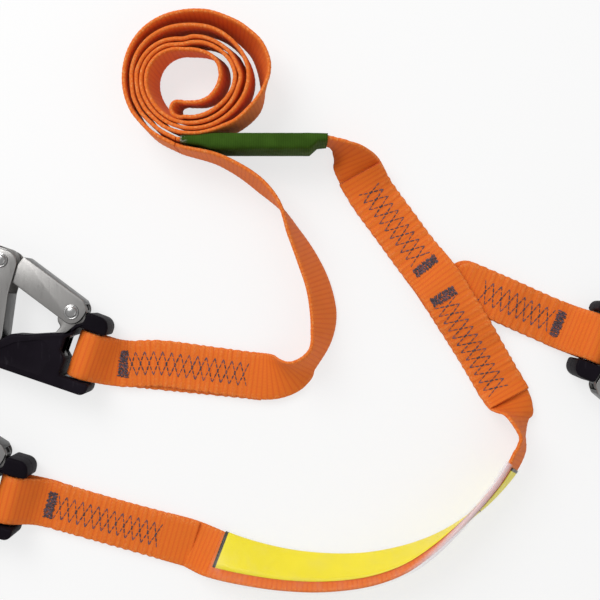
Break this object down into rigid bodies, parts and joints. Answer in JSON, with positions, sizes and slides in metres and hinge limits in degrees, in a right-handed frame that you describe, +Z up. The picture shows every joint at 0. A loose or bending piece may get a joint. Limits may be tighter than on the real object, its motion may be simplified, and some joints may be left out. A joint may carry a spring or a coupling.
{
  "type": "three-hook safety tether",
  "caption": "Orange webbing safety tether laid flat: a rolled long leg and a short leg meet at a sewn joint, with a double-action gate hook at each end.",
  "frame": {"origin": "centre of the bounding box in plan, on the surface that the tether is laid on", "axes": "+Z up from the surface, +X to the right in the picture, +Y to the top of the picture"},
  "size_m": [0.5656, 0.299, 0.0287],
  "materials": {
    "orange_webbing": "woven polyester webbing",
    "steel": "forged and pressed stainless steel",
    "spring_steel": "spring wire",
    "black_nylon": "moulded nylon",
    "green_cover": "coated green sleeve",
    "yellow_label": "printed strip",
    "clear_film": "clear film sleeve",
    "dark_thread": "bonded sewing thread"
  },
  "bodies": {
    "webbing": {"main_strap_lead": "orange_webbing", "main_strap_roll": "orange_webbing", "main_strap_tail": "orange_webbing", "branch_strap": "orange_webbing", "joint_overlay_strap": "orange_webbing", "overload_cover": "green_cover", "label_front": "yellow_label", "label_back": "yellow_label", "clear_sleeve": "clear_film", "seam_hook_1": "dark_thread", "seam_hook_2": "dark_thread", "seam_hook_3": "dark_thread", "seam_joint_upper": "dark_thread", "seam_joint_lower": "dark_thread", "tack_hook_1": "dark_thread", "tack_hook_2": "dark_thread", "tack_hook_3": "dark_thread", "tack_joint_upper": "dark_thread", "tack_joint_lower": "dark_thread"},
    "hook_1_body": {"hook_1_frame": "steel", "hook_1_grip_upper": "black_nylon", "hook_1_grip_lower": "black_nylon", "hook_1_eye_pin": "steel", "hook_1_eye_bush": "steel", "hook_1_gate_bracket": "steel", "hook_1_bracket_pin": "steel", "hook_1_gate_rivet": "steel", "hook_1_lever_rivet": "steel"},
    "hook_1_gate": {"hook_1_gate": "steel", "hook_1_gate_spring": "spring_steel"},
    "hook_1_lever": {"hook_1_lock_lever": "steel", "hook_1_lever_spring": "spring_steel"},
    "hook_2_body": {"hook_2_frame": "steel", "hook_2_grip_upper": "black_nylon", "hook_2_grip_lower": "black_nylon", "hook_2_eye_pin": "steel", "hook_2_eye_bush": "steel", "hook_2_gate_bracket": "steel", "hook_2_bracket_pin": "steel", "hook_2_gate_rivet": "steel", "hook_2_lever_rivet": "steel"},
    "hook_2_gate": {"hook_2_gate": "steel", "hook_2_gate_spring": "spring_steel"},
    "hook_2_lever": {"hook_2_lock_lever": "steel", "hook_2_lever_spring": "spring_steel"},
    "hook_3_body": {"hook_3_frame": "steel", "hook_3_grip_upper": "black_nylon", "hook_3_grip_lower": "black_nylon", "hook_3_eye_pin": "steel", "hook_3_eye_bush": "steel", "hook_3_gate_bracket": "steel", "hook_3_bracket_pin": "steel", "hook_3_gate_rivet": "steel", "hook_3_lever_rivet": "steel"},
    "hook_3_gate": {"hook_3_gate": "steel", "hook_3_gate_spring": "spring_steel"},
    "hook_3_lever": {"hook_3_lock_lever": "steel", "hook_3_lever_spring": "spring_steel"}
  },
  "joints": [
    {"name": "hook_1_swing", "type": "hinge", "parent": "webbing", "child": "hook_1_body", "pos_m": [-0.11079, -0.02766, 0.0095], "axis": [0.3239, 0.9461, 0], "range_deg": [0, 110]},
    {"name": "hook_1_gate_hinge", "type": "hinge", "parent": "hook_1_body", "child": "hook_1_gate", "pos_m": [-0.15403, 0.02202, 0.0095], "axis": [0, 0, 1], "range_deg": [0, 34], "stiffness_Nm_per_rad": 0.05, "springref_deg": -20.05},
    {"name": "hook_1_lever_hinge", "type": "hinge", "parent": "hook_1_body", "child": "hook_1_lever", "pos_m": [-0.11769, -0.0049, 0.0095], "axis": [0, 0, 1], "range_deg": [0, 7], "stiffness_Nm_per_rad": 0.08, "springref_deg": -17.19},
    {"name": "hook_2_swing", "type": "hinge", "parent": "webbing", "child": "hook_2_body", "pos_m": [-0.15089, -0.10226, 0.0095], "axis": [0.2504, 0.9681, 0], "range_deg": [0, 110]},
    {"name": "hook_2_gate_hinge", "type": "hinge", "parent": "hook_2_body", "child": "hook_2_gate", "pos_m": [-0.19781, -0.05604, 0.0095], "axis": [0, 0, 1], "range_deg": [0, 34], "stiffness_Nm_per_rad": 0.05, "springref_deg": -20.05},
    {"name": "hook_2_lever_hinge", "type": "hinge", "parent": "hook_2_body", "child": "hook_2_lever", "pos_m": [-0.15951, -0.08009, 0.0095], "axis": [0, 0, 1], "range_deg": [0, 7], "stiffness_Nm_per_rad": 0.08, "springref_deg": -17.19},
    {"name": "hook_3_swing", "type": "hinge", "parent": "webbing", "child": "hook_3_body", "pos_m": [0.15581, -0.01886, 0.0095], "axis": [-0.3746, -0.9272, 0], "range_deg": [0, 110]},
    {"name": "hook_3_gate_hinge", "type": "hinge", "parent": "hook_3_body", "child": "hook_3_gate", "pos_m": [0.1963, -0.07081, 0.0095], "axis": [0, 0, 1], "range_deg": [0, 34], "stiffness_Nm_per_rad": 0.05, "springref_deg": -20.05},
    {"name": "hook_3_lever_hinge", "type": "hinge", "parent": "hook_3_body", "child": "hook_3_lever", "pos_m": [0.16147, -0.04196, 0.0095], "axis": [0, 0, 1], "range_deg": [0, 7], "stiffness_Nm_per_rad": 0.08, "springref_deg": -17.19}
  ]
}
